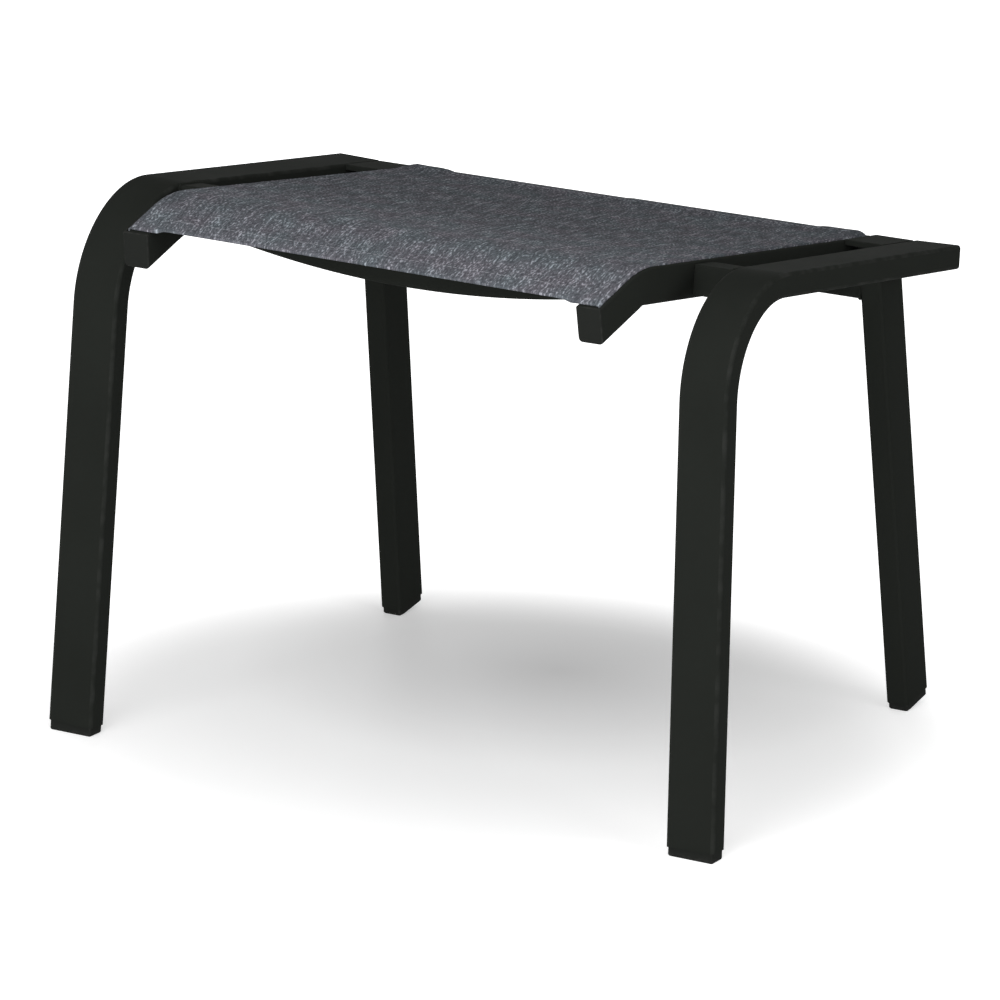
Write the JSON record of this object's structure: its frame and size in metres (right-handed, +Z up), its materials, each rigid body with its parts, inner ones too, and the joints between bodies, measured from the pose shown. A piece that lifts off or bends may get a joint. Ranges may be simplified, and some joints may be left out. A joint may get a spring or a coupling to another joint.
{
  "type": "outdoor footstool",
  "caption": "Outdoor ottoman footstool: a woven sling held by keder rods in bent, toed-in rails, on a tubular frame of arched ends, raked rear legs, a rear cross tube and a bowed front spreader",
  "frame": {"origin": "middle of the bounding box's floor plane, under the glides", "axes": "+X to the stool's right-hand end frame, +Y towards the raked rear legs, +Z up"},
  "size_m": [0.5568, 0.4838, 0.4134],
  "materials": {
    "frame": "fine-textured charcoal powder coat on aluminium tube",
    "plastic": "matte black moulded caps and glides",
    "sling": "woven slate grey melange sling cloth with paler flecks",
    "keder": "extruded flexible rod in the sling's side seams",
    "steel": "dull black-oxide steel bolts, screws, sleeves and insert nuts"
  },
  "bodies": {
    "root": {"left_end_frame": "frame", "left_end_frame_cap": "plastic", "left_rear_leg": "frame", "left_front_glide": "plastic", "left_rear_glide": "plastic", "left_rear_cap_plate": "frame", "left_front_connector": "frame", "left_sling_rail": "frame", "left_rail_front_cap": "plastic", "left_rail_back_cap": "plastic", "left_keder_rod": "keder", "left_spreader_plug": "plastic", "left_rail_bolt": "steel", "left_connector_insert": "steel", "left_cross_tube_screw": "steel", "left_rail_insert_nut": "steel", "left_front_leg_bolt": "steel", "left_front_leg_sleeve": "steel", "left_front_leg_insert_nut": "steel", "left_back_leg_bolt": "steel", "left_back_leg_sleeve": "steel", "left_back_leg_insert_nut": "steel", "right_end_frame": "frame", "right_end_frame_cap": "plastic", "right_rear_leg": "frame", "right_front_glide": "plastic", "right_rear_glide": "plastic", "right_rear_cap_plate": "frame", "right_front_connector": "frame", "right_sling_rail": "frame", "right_rail_front_cap": "plastic", "right_rail_back_cap": "plastic", "right_keder_rod": "keder", "right_spreader_plug": "plastic", "right_rail_bolt": "steel", "right_connector_insert": "steel", "right_cross_tube_screw": "steel", "right_rail_insert_nut": "steel", "right_front_leg_bolt": "steel", "right_front_leg_sleeve": "steel", "right_front_leg_insert_nut": "steel", "right_back_leg_bolt": "steel", "right_back_leg_sleeve": "steel", "right_back_leg_insert_nut": "steel", "rear_cross_tube": "frame", "front_spreader_bar": "frame", "sling_fabric": "sling"}
  },
  "joints": []
}
